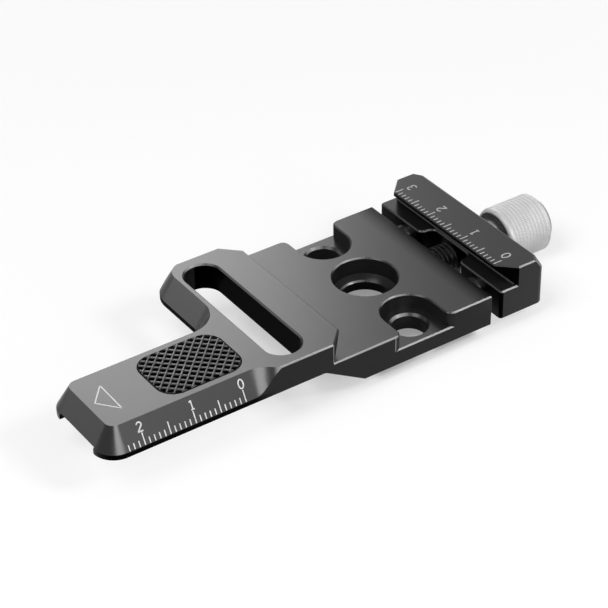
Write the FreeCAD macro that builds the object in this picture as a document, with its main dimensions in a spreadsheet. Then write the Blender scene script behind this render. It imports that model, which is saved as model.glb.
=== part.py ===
import FreeCAD, Part
import math
import os
import re

import Sketcher

# Camera support clamp: a machined plate with a bevelled tongue, a sliding dovetail jaw and its knob.
# Millimetres. +X runs along the plate towards the knob, +Y across it, +Z up.
# The origin lies on the axis of the large centre hole, level with the plate's underside.

SIZES = (
    ("plate_width", 37.2, "plate and jaw across their two side faces"),
    ("plate_end", 15.1, "hole axis to the end face that meets the jaw"),
    ("block_top", 10.27, "underside to the top of the tongue and block"),
    ("bed_top", 6.19, "underside to the sunk bed of the dovetail channel"),
    ("shelf_under", 4.95, "underside of the raised tongue and block"),
    ("tongue_reach", 65.98, "hole axis to the tip of the tongue at its rim"),
    ("tongue_width", 19.78, "tongue across its rim"),
    ("tip_round", 4.18, "plan radius of the two tip corners at the rim"),
    ("rim_height", 1.03, "upright rim under the bevels"),
    ("bevel_angle", 30.0, "bevel from upright, in degrees"),
    ("root_round", 3.72, "concave plan radius beside the tongue at the rim"),
    ("near_root", 35.05, "hole axis to the corner beside the tongue, near side, at the rim"),
    ("root_share", 0.95, "share of the run out on the near side that its two arcs take"),
    ("lobe_reach", 34.08, "hole axis to the lobe's bevelled face at the rim"),
    ("lobe_round", 3.7, "plan radius of the lobe's far corner at the top"),
    ("lip_reach", 16.65, "hole axis to the fixed dovetail lip"),
    ("lip_land", 0.9, "upright land on both dovetail lips"),
    ("undercut_depth", 2.8, "how far both dovetails cut back under their lips"),
    ("undercut_angle", 45.0, "dovetail flank from level, in degrees"),
    ("lip_corner", 3.4, "45 degree plan corners of the fixed lip"),
    ("ramp_top", 21.8, "hole axis to the upper end of the ramp under the block"),
    ("ramp_foot", 13.4, "hole axis to the lower end of that ramp"),
    ("ramp_round", 1.6, "radius where the ramp meets the block's underside"),
    ("slot_place", 27.0, "hole axis to the middle of the strap slot"),
    ("slot_width", 7.1, "strap slot across"),
    ("slot_length", 32.3, "strap slot from end to end"),
    ("centre_bore", 9.4, "centre hole diameter at the underside"),
    ("centre_bore_top", 1.7, "height where the centre bore starts to open"),
    ("centre_throat", 10.0, "diameter at the foot of the cone under the counterbore"),
    ("centre_throat_top", 2.0, "height of that foot"),
    ("centre_seat", 12.2, "counterbore diameter of the centre hole"),
    ("centre_seat_floor", 2.7, "height where the counterbore wall starts"),
    ("side_hole_place", 13.5, "hole axis to the two side holes"),
    ("side_bore", 6.5, "side hole diameter"),
    ("side_bore_break", 0.45, "chamfer at the top of the side holes"),
    ("pocket_round", 5.2, "radius of the two side pockets"),
    ("pocket_floor", 3.19, "height of the pocket floors"),
    ("pocket_mouth_round", 1.5, "plan radius where a pocket opens in the side face"),
    ("channel_width", 11.3, "relief channel under the tongue, across"),
    ("channel_depth", 1.35, "relief channel, depth"),
    ("channel_end", 38.0, "hole axis to the closed end of the relief channel"),
    ("channel_round", 3.0, "plan radius at the closed end"),
    ("grip_place", 43.35, "hole axis to the middle of the grip pad"),
    ("grip_length", 16.65, "grip pad along the tongue"),
    ("grip_width", 12.4, "grip pad across the tongue"),
    ("grip_round", 3.6, "plan radius of the grip pad's corners"),
    ("grip_seat_depth", 1.2, "depth of the recess that holds the grip pad"),
    ("grip_proud", 0.25, "grip pad above the tongue's top"),
    ("grip_clearance", 0.05, "grip pad to the recess wall"),
    ("pit_pitch", 1.95, "rows of grip pits, both ways"),
    ("pit_side", 1.04, "side of a grip pit at the pad's top"),
    ("pit_depth", 0.55, "depth of the grip pits"),
    ("drive_height", 3.05, "height of the screw and pin axes"),
    ("screw_size", 4.0, "screw diameter"),
    ("screw_clearance", 0.05, "screw to its bores, on the radius"),
    ("drive_hole_depth", 7.4, "depth of the screw and pin holes in the plate"),
    ("screw_tip_space", 2.5, "screw tip to the end of its hole, at rest"),
    ("screw_in_knob", 9.0, "screw held in the knob"),
    ("screw_break", 0.4, "chamfer at the screw's ends"),
    ("pin_size", 4.0, "guide pin diameter"),
    ("pin_spacing", 21.8, "guide pins, centre to centre"),
    ("pin_clearance", 0.04, "guide pin to the jaw's hole, on the radius"),
    ("pin_in_jaw", 5.05, "guide pin inside the jaw, at rest"),
    ("pin_end_space", 2.1, "guide pin's end to the end of its hole, at rest"),
    ("pin_break", 0.3, "chamfer at the guide pin's ends"),
    ("jaw_gap", 1.95, "plate end to the jaw's foot, at rest"),
    ("jaw_length", 10.3, "jaw along the plate, at its foot"),
    ("jaw_top_length", 8.85, "front of the jaw's foot to the back of its top"),
    ("jaw_top_corner", 1.1, "cut of the top's back corners along the plate"),
    ("jaw_foot", 0.25, "underside of the jaw"),
    ("jaw_foot_top", 6.15, "top of the jaw's foot"),
    ("jaw_top", 10.12, "top of the jaw"),
    ("jaw_lip_setback", 0.75, "jaw's lip behind the front of its foot"),
    ("jaw_lip_corner", 3.3, "45 degree plan corners of the jaw's lip"),
    ("jaw_front_round", 0.6, "plan radius of the foot's front corners"),
    ("jaw_back_round", 1.65, "plan radius of the jaw's back corners"),
    ("notch_width", 11.3, "spring notch in the front of the foot, across"),
    ("notch_depth", 2.95, "spring notch, depth"),
    ("notch_round", 1.4, "plan radii of the spring notch"),
    ("spring_wire", 0.5, "opening spring, wire diameter"),
    ("spring_play", 0.3, "screw to the inside of the spring's coil"),
    ("spring_turns", 4.5, "turns of the opening spring"),
    ("spring_end_gap", 0.02, "spring's ends to the faces that hold it"),
    ("washer_size", 7.2, "thrust washer, outer diameter"),
    ("washer_bore_play", 0.15, "screw to the thrust washer's bore, on the radius"),
    ("washer_thickness", 0.5, "thrust washer"),
    ("knob_size", 11.4, "knob diameter over the grip"),
    ("knob_length", 13.05, "knob from the washer to its end"),
    ("knob_grip_length", 10.7, "full diameter part of the knob with its end chamfer"),
    ("knob_neck", 6.0, "diameter of the knob's neck"),
    ("knob_cove", 2.2, "radius of the cove between the neck and the grip"),
    ("knob_front_break", 0.34, "chamfer where the cove meets the grip"),
    ("knob_end_break", 1.3, "chamfer at the knob's end"),
    ("knob_dish", 0.3, "depth of the dish in the knob's end"),
    ("knob_dish_size", 6.4, "diameter of that dish"),
    ("edge_break", 0.25, "bright chamfer along the outer edges"),
    ("rim_break", 0.3, "chamfer round the strap slot"),
)

# Sizes that follow from others, written in terms of the names above.
FOLLOWS = {
    "half_width": "plate_width / 2",
    "bevel_drop": "block_top - shelf_under - rim_height",
    "bevel_run": "bevel_drop * tan(bevel_angle)",
    "tongue_far": "tongue_width - half_width",
    "tongue_middle": "(tongue_far - half_width) / 2",
    "undercut_rise": "undercut_depth * tan(undercut_angle)",
    "past": "plate_width / 4",
    "root_arcs": "2 * (root_round + lobe_round + bevel_run)",
    "root_half_turn": "sqrt(root_share * bevel_run / (root_arcs - root_share * bevel_run))",
    "root_lead": "bevel_run * (1 - root_half_turn ^ 2) / (2 * root_half_turn)",
    "jaw_front": "plate_end + jaw_gap",
    "jaw_back": "jaw_front + jaw_length",
    "drive_hole_end": "plate_end - drive_hole_depth",
    "pin_end": "jaw_front + pin_in_jaw",
    "washer_back": "jaw_back + washer_thickness",
    "slot_wall": "(plate_width - slot_length) / 2",
    "slot_rim": "min(rim_break; slot_wall / 3)",
    "block_rim": "min(edge_break; slot_wall / 3)",
}

# Flats round the section of the spring's wire.
WIRE_FLATS = 6

# Coordinates this close are the same place.
SAME_PLACE = 1e-4

document = FreeCAD.newDocument("CameraSupportClamp")
sheet = document.addObject("Spreadsheet::Sheet", "Sizes")
for row, (name, number, meaning) in enumerate(SIZES, 1):
    sheet.set(f"A{row}", meaning)
    sheet.set(f"B{row}", str(number))
    sheet.setAlias(f"B{row}", name)
document.recompute()
SHEET_NAMES = {entry[0] for entry in SIZES}


def in_sheet_terms(text):
    """An expression of size names as FreeCAD reads it, with every name led back to a cell of the sheet."""

    def replace(match):
        word = match.group()
        if word in FOLLOWS:
            return "(" + in_sheet_terms(FOLLOWS[word]) + ")"
        return "Sizes." + word if word in SHEET_NAMES else word

    return re.sub(r"[a-z][a-z_]*", replace, str(text))


def value(text):
    """The present number of an expression of size names."""
    return float(sheet.evalExpression(in_sheet_terms(text)))


def bind(target, place, text):
    """Bind a property or a sketch constraint to an expression of size names."""
    target.setExpression(place, in_sheet_terms(text))


def new_body(name):
    """An empty body labelled with the name of its piece."""
    body = document.addObject("PartDesign::Body", name)
    body.Label = name
    return body


def origin_item(body, role):
    """One of the body's own origin planes or axes."""
    return next(item for item in body.Origin.OriginFeatures if item.Role == role)


def sketch_on(body, role, name, offset="0"):
    """An empty sketch on one of the body's origin planes, moved along the plane's normal by offset."""
    sketch = body.newObject("Sketcher::SketchObject", name)
    sketch.AttachmentSupport = (origin_item(body, role), "")
    sketch.MapMode = "FlatFace"
    bind(sketch, "AttachmentOffset.Base.z", offset)
    return sketch


def hold_point(sketch, geometry, position, across, up):
    """Fix one point of a sketch at two bound distances from the sketch's origin."""
    for kind, text in (("DistanceX", across), ("DistanceY", up)):
        index = sketch.addConstraint(Sketcher.Constraint(kind, -1, 1, geometry, position, value(text)))
        bind(sketch, f"Constraints[{index}]", text)


def hold_radius(sketch, geometry, text):
    """Bind the radius of a circle or an arc."""
    index = sketch.addConstraint(Sketcher.Constraint("Radius", geometry, value(text)))
    bind(sketch, f"Constraints[{index}]", text)


def draw_circle(sketch, across, up, radius):
    """A circle held by its centre and radius."""
    centre = FreeCAD.Vector(value(across), value(up), 0)
    circle = sketch.addGeometry(Part.Circle(centre, FreeCAD.Vector(0, 0, 1), value(radius)), False)
    hold_point(sketch, circle, 3, across, up)
    hold_radius(sketch, circle, radius)


def corner_arc(before, corner, after, radius):
    """The arc of a radius that rounds one corner, and whether the path turns left there."""
    to_before = (before - corner).normalize()
    to_after = (after - corner).normalize()
    half_angle = to_before.getAngle(to_after) / 2
    reach = radius / math.tan(half_angle)
    inward = (to_before + to_after).normalize()
    centre = corner + inward * (radius / math.sin(half_angle))
    turns_left = to_after.cross(to_before).z > 0
    ends = (corner + to_before * reach, corner + to_after * reach)
    first, last = ends if turns_left else ends[::-1]
    start, stop = (math.atan2(point.y - centre.y, point.x - centre.x) for point in (first, last))
    circle = Part.Circle(centre, FreeCAD.Vector(0, 0, 1), radius)
    return Part.ArcOfCircle(circle, start, stop), ends, turns_left


def draw_loop(sketch, corners):
    """A closed path of straight lines through corners (across, up) or (across, up, radius of the round)."""
    points = [FreeCAD.Vector(value(corner[0]), value(corner[1]), 0) for corner in corners]
    count = len(corners)
    arcs = {}
    for index, corner in enumerate(corners):
        if len(corner) == 3:
            neighbours = (points[index - 1], points[index], points[(index + 1) % count])
            arcs[index] = corner_arc(*neighbours, value(corner[2]))
    lines = []
    for index in range(count):
        following = (index + 1) % count
        start = arcs[index][1][1] if index in arcs else points[index]
        stop = arcs[following][1][0] if following in arcs else points[following]
        lines.append(sketch.addGeometry(Part.LineSegment(start, stop), False))
    for index, corner in enumerate(corners):
        before, after = lines[index - 1], lines[index]
        if index in arcs:
            arc = sketch.addGeometry(arcs[index][0], False)
            first, last = (1, 2) if arcs[index][2] else (2, 1)
            sketch.addConstraint(Sketcher.Constraint("Tangent", before, 2, arc, first))
            sketch.addConstraint(Sketcher.Constraint("Tangent", after, 1, arc, last))
            held = sketch.addGeometry(Part.Point(points[index]), True)
            sketch.addConstraint(Sketcher.Constraint("PointOnObject", held, 1, before))
            sketch.addConstraint(Sketcher.Constraint("PointOnObject", held, 1, after))
            hold_point(sketch, held, 1, corner[0], corner[1])
            hold_radius(sketch, arc, corner[2])
        else:
            sketch.addConstraint(Sketcher.Constraint("Coincident", before, 2, after, 1))
            hold_point(sketch, after, 1, corner[0], corner[1])


def draw_box(sketch, low_across, low_up, high_across, high_up, radius=None):
    """A rectangle between two corners, with all four corners rounded where a radius is given."""
    rounded = () if radius is None else (radius,)
    ends = ((low_across, low_up), (high_across, low_up), (high_across, high_up), (low_across, high_up))
    draw_loop(sketch, [end + rounded for end in ends])


# Signs of a slot's four tangent points, in the order of a left-hand walk from the lower right one.
SLOT_CORNERS = ((1, -1), (1, 1), (-1, 1), (-1, -1))


def draw_slot(sketch, middle, length, width):
    """A slot with round ends, centred at middle on the first axis and running along the second."""
    radius = f"({width}) / 2"
    reach = f"(({length}) - ({width})) / 2"
    centre, half, end = value(middle), value(radius), value(reach)
    upright = FreeCAD.Vector(0, 0, 1)
    upper = Part.ArcOfCircle(Part.Circle(FreeCAD.Vector(centre, end, 0), upright, half), 0, math.pi)
    below = Part.Circle(FreeCAD.Vector(centre, -end, 0), upright, half)
    lower = Part.ArcOfCircle(below, math.pi, 2 * math.pi)
    corners = [FreeCAD.Vector(centre + side * half, end * rise, 0) for side, rise in SLOT_CORNERS]
    right = Part.LineSegment(corners[0], corners[1])
    left = Part.LineSegment(corners[2], corners[3])
    first, second, rise, fall = (sketch.addGeometry(item, False) for item in (upper, lower, right, left))
    for one, one_end, other, other_end in (
        (rise, 2, first, 1),
        (first, 2, fall, 1),
        (fall, 2, second, 1),
        (second, 2, rise, 1),
    ):
        sketch.addConstraint(Sketcher.Constraint("Tangent", one, one_end, other, other_end))
    hold_point(sketch, first, 3, middle, reach)
    hold_point(sketch, second, 3, middle, f"-({reach})")
    hold_radius(sketch, first, radius)


def add_feature(body, kind, name, sketch):
    """A sketch-based feature that becomes the body's newest one."""
    feature = body.newObject(kind, name)
    feature.Profile = sketch
    sketch.Visibility = False
    return feature


def must_be_smaller(body, before, name):
    """Stop where a cut has taken nothing away, or everything."""
    document.recompute()
    if not 0 < body.Shape.Volume < before * (1 - 1e-9):
        raise RuntimeError(f"{name} doesn't cut {body.Label} as it should")


def pad(body, name, sketch, length, symmetric=False):
    """Material along the sketch's normal, or to both sides of it by half the length each."""
    feature = add_feature(body, "PartDesign::Pad", name, sketch)
    if symmetric:
        feature.SideType = "Symmetric"
    bind(feature, "Length", length)
    document.recompute()
    return feature


def pocket(body, name, sketch, depth, along_normal=False, symmetric=False, taper=None):
    """A cut against the sketch's normal, along it, or to both sides of it by half the depth each."""
    before = body.Shape.Volume
    feature = add_feature(body, "PartDesign::Pocket", name, sketch)
    feature.Reversed = along_normal
    if taper:
        bind(feature, "TaperAngle", taper)
    if symmetric:
        feature.SideType = "Symmetric"
    bind(feature, "Length", depth)
    must_be_smaller(body, before, name)
    return feature


def turned(body, kind, name, sketch, axis_role):
    """A full turn of a profile about one of the body's axes."""
    feature = add_feature(body, kind, name, sketch)
    feature.ReferenceAxis = (origin_item(body, axis_role), [""])
    feature.Angle = 360
    document.recompute()
    return feature


def turned_cut(body, name, sketch, axis_role):
    """A groove of a full turn, checked to remove material."""
    before = body.Shape.Volume
    feature = turned(body, "PartDesign::Groove", name, sketch, axis_role)
    must_be_smaller(body, before, name)
    return feature


def mirrored(body, name, originals, role):
    """The same features on the other side of one of the body's origin planes."""
    before = body.Shape.Volume
    feature = body.newObject("PartDesign::Mirrored", name)
    feature.Originals = originals
    feature.MirrorPlane = (origin_item(body, role), [""])
    body.Tip = feature
    must_be_smaller(body, before, name)
    return feature


def edges_where(feature, test, with_ends=True):
    """Names of the edges whose middle, and both ends unless told otherwise, pass a test."""
    names = []
    for number, edge in enumerate(feature.Shape.Edges, 1):
        points = [edge.valueAt((edge.FirstParameter + edge.LastParameter) / 2)]
        if with_ends:
            points += [vertex.Point for vertex in edge.Vertexes]
        if all(test(point) for point in points):
            names.append(f"Edge{number}")
    return names


def near(one, other):
    """Whether two coordinates are the same place."""
    return abs(one - other) < SAME_PLACE


def chamfer(body, name, test, size):
    """Break the edges of the body's newest feature that pass a test."""
    before = body.Shape.Volume
    base = body.Tip
    names = edges_where(base, test)
    feature = body.newObject("PartDesign::Chamfer", name)
    feature.Base = (base, names)
    bind(feature, "Size", size)
    must_be_smaller(body, before, name)
    return feature


def long_bevel(body):
    """Lean the tongue's and the lobe's faces back from the upright rim, all round their outline."""
    top, end = value("block_top"), value("plate_end")

    def on_bevel(point):
        return near(point.z, top) and not near(point.x, end)

    before = body.Shape.Volume
    base = body.Tip
    feature = body.newObject("PartDesign::Chamfer", "LongBevel")
    feature.Base = (base, edges_where(base, on_bevel, with_ends=False))
    feature.ChamferType = "Two distances"
    bind(feature, "Size", "bevel_drop")
    bind(feature, "Size2", "bevel_run")
    must_be_smaller(body, before, "LongBevel")


def plate_outline(body):
    """The blank of the plate: its rim outline with the long bevel, cut to the plate's width.

    On the near side the outline runs out in two arcs, and the long bevel fades out on the side face.
    """
    rim = sketch_on(body, "XY_Plane", "RimOutline")
    draw_loop(
        rim,
        (
            ("-tongue_reach", "-half_width", "tip_round"),
            ("-near_root", "-half_width", "root_round"),
            ("-near_root + root_lead", "-half_width - bevel_run", "lobe_round + bevel_run"),
            ("plate_end", "-half_width - bevel_run"),
            ("plate_end", "half_width + bevel_run"),
            ("-lobe_reach", "half_width + bevel_run", "lobe_round + bevel_run"),
            ("-lobe_reach", "tongue_far", "root_round"),
            ("-tongue_reach", "tongue_far", "tip_round"),
        ),
    )
    pad(body, "Blank", rim, "block_top")
    long_bevel(body)
    sides = sketch_on(body, "XY_Plane", "SideStock")
    draw_box(sides, "-near_root - past", "-half_width - 2 * past", "plate_end + past", "-half_width")
    draw_box(sides, "-lobe_reach - past", "half_width", "plate_end + past", "half_width + 2 * past")
    pocket(body, "SideFaces", sides, "block_top", along_normal=True)


def plate_profile(body):
    """The side view of the plate: sunk bed with its undercut lip, and the shelf under the tongue."""
    bed = sketch_on(body, "XZ_Plane", "BedAndDovetail")
    draw_loop(
        bed,
        (
            ("-lip_reach", "block_top + past"),
            ("-lip_reach", "block_top - lip_land"),
            ("-lip_reach - undercut_depth", "block_top - lip_land - undercut_rise"),
            ("-lip_reach - undercut_depth", "bed_top"),
            ("plate_end + past", "bed_top"),
            ("plate_end + past", "block_top + past"),
        ),
    )
    pocket(body, "SunkBed", bed, "plate_width + 2 * past", symmetric=True)
    shelf = sketch_on(body, "XZ_Plane", "ShelfAndRamp")
    draw_loop(
        shelf,
        (
            ("-tongue_reach - past", "-past"),
            ("-ramp_foot", "-past"),
            ("-ramp_foot", "0"),
            ("-ramp_top", "shelf_under", "ramp_round"),
            ("-tongue_reach - past", "shelf_under"),
        ),
    )
    pocket(body, "RaisedShelf", shelf, "plate_width + 2 * past", symmetric=True)


def plate_openings(body):
    """The strap slot, the fixed lip's plan corners, the relief channel and the recess for the grip pad."""
    corners = sketch_on(body, "XY_Plane", "LipCorners", "bed_top")
    for side in ("-", ""):
        draw_loop(
            corners,
            (
                ("-lip_reach", f"{side}(half_width - lip_corner)"),
                ("-lip_reach - lip_corner", f"{side}half_width"),
                ("-lip_reach + past", f"{side}(half_width + past + lip_corner)"),
            ),
        )
    pocket(body, "FixedLipCorners", corners, "block_top - bed_top", along_normal=True)
    slot = sketch_on(body, "XY_Plane", "StrapSlotOutline")
    draw_slot(slot, "-slot_place", "slot_length", "slot_width")
    pocket(body, "StrapSlot", slot, "block_top", along_normal=True)
    channel = sketch_on(body, "XY_Plane", "ChannelOutline", "shelf_under")
    low, high = "tongue_middle - channel_width / 2", "tongue_middle + channel_width / 2"
    draw_loop(
        channel,
        (
            ("-tongue_reach - past", low),
            ("-channel_end", low, "channel_round"),
            ("-channel_end", high, "channel_round"),
            ("-tongue_reach - past", high),
        ),
    )
    pocket(body, "ReliefChannel", channel, "channel_depth", along_normal=True)
    seat = sketch_on(body, "XY_Plane", "GripSeatOutline", "block_top")
    along, across = "(grip_length / 2 + grip_clearance)", "(grip_width / 2 + grip_clearance)"
    draw_box(
        seat,
        f"-grip_place - {along}",
        f"tongue_middle - {across}",
        f"-grip_place + {along}",
        f"tongue_middle + {across}",
        "grip_round + grip_clearance",
    )
    pocket(body, "GripSeat", seat, "grip_seat_depth")


def centre_hole(body):
    """The stepped and coned hole at the origin, turned about the vertical axis."""
    profile = sketch_on(body, "XZ_Plane", "CentreHoleProfile")
    draw_loop(
        profile,
        (
            ("0", "-past"),
            ("centre_bore / 2", "-past"),
            ("centre_bore / 2", "centre_bore_top"),
            ("centre_throat / 2", "centre_throat_top"),
            ("centre_seat / 2", "centre_seat_floor"),
            ("centre_seat / 2", "bed_top - edge_break"),
            ("centre_seat / 2 + edge_break + past", "bed_top + past"),
            ("0", "bed_top + past"),
        ),
    )
    turned_cut(body, "CentreHole", profile, "Z_Axis")


def side_pockets(body):
    """A round-ended pocket with a hole in its floor, open in each side face."""
    depth = "bed_top - pocket_floor"
    end = sketch_on(body, "XY_Plane", "PocketEndCircle", "pocket_floor")
    draw_circle(end, "0", "-side_hole_place", "pocket_round")
    round_end = pocket(body, "PocketEnd", end, depth, along_normal=True)
    outline = sketch_on(body, "XY_Plane", "PocketMouthOutline", "pocket_floor")
    edge = "-half_width"
    wide = "(pocket_round + 2 * pocket_mouth_round)"
    draw_loop(
        outline,
        (
            ("-pocket_round", "-side_hole_place"),
            ("-pocket_round", edge, "pocket_mouth_round"),
            (f"-{wide}", edge),
            (f"-{wide}", f"{edge} - past"),
            (wide, f"{edge} - past"),
            (wide, edge),
            ("pocket_round", edge, "pocket_mouth_round"),
            ("pocket_round", "-side_hole_place"),
        ),
    )
    mouth = pocket(body, "PocketMouth", outline, depth, along_normal=True)
    hole = sketch_on(body, "XY_Plane", "SideHoleCircle")
    draw_circle(hole, "0", "-side_hole_place", "side_bore / 2")
    near_hole = pocket(body, "SideHole", hole, "pocket_floor", along_normal=True)
    mirrored(body, "FarPocketAndHole", [round_end, mouth, near_hole], "XZ_Plane")


def drive_holes(body):
    """The blind screw hole and the two blind pin holes in the end face."""
    ends = sketch_on(body, "YZ_Plane", "DriveHoleCircles", "drive_hole_end")
    draw_circle(ends, "0", "drive_height", "screw_size / 2 + screw_clearance")
    draw_circle(ends, "-pin_spacing / 2", "drive_height", "pin_size / 2")
    draw_circle(ends, "pin_spacing / 2", "drive_height", "pin_size / 2")
    pocket(body, "DriveHoles", ends, "drive_hole_depth", along_normal=True)


def plate_breaks(body):
    """The fine chamfers that catch the light along the plate's machined edges.

    The rims of the slot and of the block stay within the wall between them.
    """
    top, bed, floor = value("block_top"), value("bed_top"), value("pocket_floor")
    side, end = value("half_width"), value("plate_end")
    lip, root = value("-lip_reach"), value("-lip_reach - undercut_depth")
    hole = value("centre_seat / 2 + 2 * edge_break")
    slot_half = value("slot_width / 2") + SAME_PLACE
    slot_reach = value("slot_length / 2") + SAME_PLACE
    slot_middle = value("-slot_place")

    def round_slot(point):
        within = abs(point.x - slot_middle) < slot_half and abs(point.y) < slot_reach
        return near(point.z, top) and within

    def round_side_bore(point):
        off_axis = math.hypot(point.x, abs(point.y) - value("side_hole_place"))
        return near(point.z, floor) and near(off_axis, value("side_bore / 2"))

    def on_bed_rim(point):
        outside_hole = math.hypot(point.x, point.y) > hole
        return near(point.z, bed) and point.x > root + SAME_PLACE and outside_hole

    def on_end_corner(point):
        return near(point.x, end) and near(abs(point.y), side)

    def on_floor_rim(point):
        return near(point.z, floor) and near(abs(point.y), side)

    def on_block_top(point):
        on_side = near(abs(point.y), side) and point.x < lip
        on_corner = near(point.x + abs(point.y), lip + side - value("lip_corner"))
        return near(point.z, top) and (on_side or on_corner or near(point.x, lip))

    chamfer(body, "SlotRim", round_slot, "slot_rim")
    chamfer(body, "SideHoleRims", round_side_bore, "side_bore_break")
    chamfer(body, "PocketFloorRims", on_floor_rim, "edge_break")
    chamfer(body, "BedRim", lambda point: on_bed_rim(point) or on_end_corner(point), "edge_break")
    chamfer(body, "BlockRim", on_block_top, "block_rim")


def make_base_plate():
    """The machined plate: bevelled tongue and lobe, dovetail lip, bed, pockets and holes."""
    body = new_body("base_plate")
    plate_outline(body)
    plate_profile(body)
    plate_openings(body)
    centre_hole(body)
    side_pockets(body)
    drive_holes(body)
    plate_breaks(body)
    return body


def grip_pits(body, name, shift):
    """One lattice of pyramid pits with their corners along the pad's two directions."""
    pitch = value("pit_pitch")
    steps_along = 2 * math.floor(value(f"(grip_length / 2 - {shift})") / pitch)
    steps_across = 2 * math.floor(value(f"(grip_width / 2 - {shift})") / pitch)
    if value(shift) > 0:
        steps_along += 1
        steps_across += 1
    pit = body.newObject("PartDesign::SubtractiveWedge", f"{name}Pit")
    pit.AttachmentSupport = (origin_item(body, "XY_Plane"), "")
    pit.MapMode = "FlatFace"
    downward = FreeCAD.Rotation(FreeCAD.Vector(1, 0, 0), -90)
    cornerwise = FreeCAD.Rotation(FreeCAD.Vector(0, 0, 1), 45)
    pit.AttachmentOffset = FreeCAD.Placement(FreeCAD.Vector(0, 0, 0), cornerwise * downward)
    bind(pit, "AttachmentOffset.Base.x", f"-{steps_along} * pit_pitch / 2")
    bind(pit, "AttachmentOffset.Base.y", f"-{steps_across} * pit_pitch / 2")
    bind(pit, "AttachmentOffset.Base.z", "grip_seat_depth + grip_proud")
    for axis in ("X", "Z"):
        bind(pit, f"{axis}min", "-pit_side / 2")
        bind(pit, f"{axis}max", "pit_side / 2")
        setattr(pit, f"{axis}2min", 0)
        setattr(pit, f"{axis}2max", 0)
    pit.Ymin = 0
    bind(pit, "Ymax", "pit_depth")
    document.recompute()
    before = body.Shape.Volume
    spread = body.newObject("PartDesign::LinearPattern", f"{name}Pits")
    spread.Originals = [pit]
    spread.Direction = (origin_item(body, "X_Axis"), [""])
    spread.Direction2 = (origin_item(body, "Y_Axis"), [""])
    spread.Occurrences = steps_along + 1
    spread.Occurrences2 = steps_across + 1
    bind(spread, "Length", f"{steps_along} * pit_pitch")
    bind(spread, "Length2", f"{steps_across} * pit_pitch")
    body.Tip = spread
    must_be_smaller(body, before, spread.Name)


def make_grip_pad():
    """The rubber pad in the tongue's recess: two crossing sets of ridges stand between its pits."""
    body = new_body("grip_pad")
    outline = sketch_on(body, "XY_Plane", "GripOutline")
    along, across = "grip_length / 2", "grip_width / 2"
    draw_box(outline, f"-{along}", f"-{across}", along, across, "grip_round")
    pad(body, "GripBlock", outline, "grip_seat_depth + grip_proud")
    grip_pits(body, "Row", "0")
    grip_pits(body, "BetweenRow", "pit_pitch / 2")
    bind(body, "Placement.Base.x", "-grip_place")
    bind(body, "Placement.Base.y", "tongue_middle")
    bind(body, "Placement.Base.z", "block_top - grip_seat_depth")
    return body


def make_clamp_jaw():
    """The sliding jaw: foot with the spring notch, dovetail lip, screw hole and two guide holes."""
    body = new_body("clamp_jaw")
    plan = sketch_on(body, "XY_Plane", "JawOutline", "jaw_foot")
    draw_loop(
        plan,
        (
            ("0", "-half_width", "jaw_front_round"),
            ("jaw_length", "-half_width", "jaw_back_round"),
            ("jaw_length", "half_width", "jaw_back_round"),
            ("0", "half_width", "jaw_front_round"),
        ),
    )
    pad(body, "JawBar", plan, "jaw_top - jaw_foot")
    front = sketch_on(body, "XZ_Plane", "JawDovetail")
    root = "jaw_lip_setback + undercut_depth"
    draw_loop(
        front,
        (
            ("-past", "jaw_foot_top"),
            (root, "jaw_foot_top"),
            (root, "jaw_top - lip_land - undercut_rise"),
            ("jaw_lip_setback", "jaw_top - lip_land"),
            ("jaw_lip_setback", "jaw_top + past"),
            ("-past", "jaw_top + past"),
        ),
    )
    pocket(body, "JawUndercut", front, "plate_width + 2 * past", symmetric=True)
    jaw_back_bevel(body)
    corners = sketch_on(body, "XY_Plane", "JawLipCornerOutline", "jaw_foot_top")
    for sign in ("-", ""):
        draw_loop(
            corners,
            (
                ("jaw_lip_setback", f"{sign}(half_width - jaw_lip_corner)"),
                ("jaw_lip_setback + jaw_lip_corner", f"{sign}half_width"),
                ("-past", f"{sign}(half_width + past + jaw_lip_corner)"),
            ),
        )
    pocket(body, "JawLipCorners", corners, "jaw_top - jaw_foot_top", along_normal=True)
    notch = sketch_on(body, "XY_Plane", "NotchOutline", "jaw_foot")
    reach = "(notch_width / 2 + 2 * notch_round)"
    draw_loop(
        notch,
        (
            ("-past", f"-{reach}"),
            ("0", f"-{reach}"),
            ("0", "-notch_width / 2", "notch_round"),
            ("notch_depth", "-notch_width / 2", "notch_round"),
            ("notch_depth", "notch_width / 2", "notch_round"),
            ("0", "notch_width / 2", "notch_round"),
            ("0", reach),
            ("-past", reach),
        ),
    )
    pocket(body, "SpringNotch", notch, "jaw_foot_top - jaw_foot", along_normal=True)
    screw_hole = sketch_on(body, "YZ_Plane", "JawScrewCircle")
    draw_circle(screw_hole, "0", "drive_height", "screw_size / 2 + screw_clearance")
    pocket(body, "JawScrewHole", screw_hole, "jaw_length", along_normal=True)
    guides = sketch_on(body, "YZ_Plane", "JawGuideCircles")
    draw_circle(guides, "-pin_spacing / 2", "drive_height", "pin_size / 2 + pin_clearance")
    draw_circle(guides, "pin_spacing / 2", "drive_height", "pin_size / 2 + pin_clearance")
    pocket(body, "JawGuideHoles", guides, "pin_in_jaw + pin_end_space", along_normal=True)
    jaw_edges(body)
    bind(body, "Placement.Base.x", "jaw_front")
    return body


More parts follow.
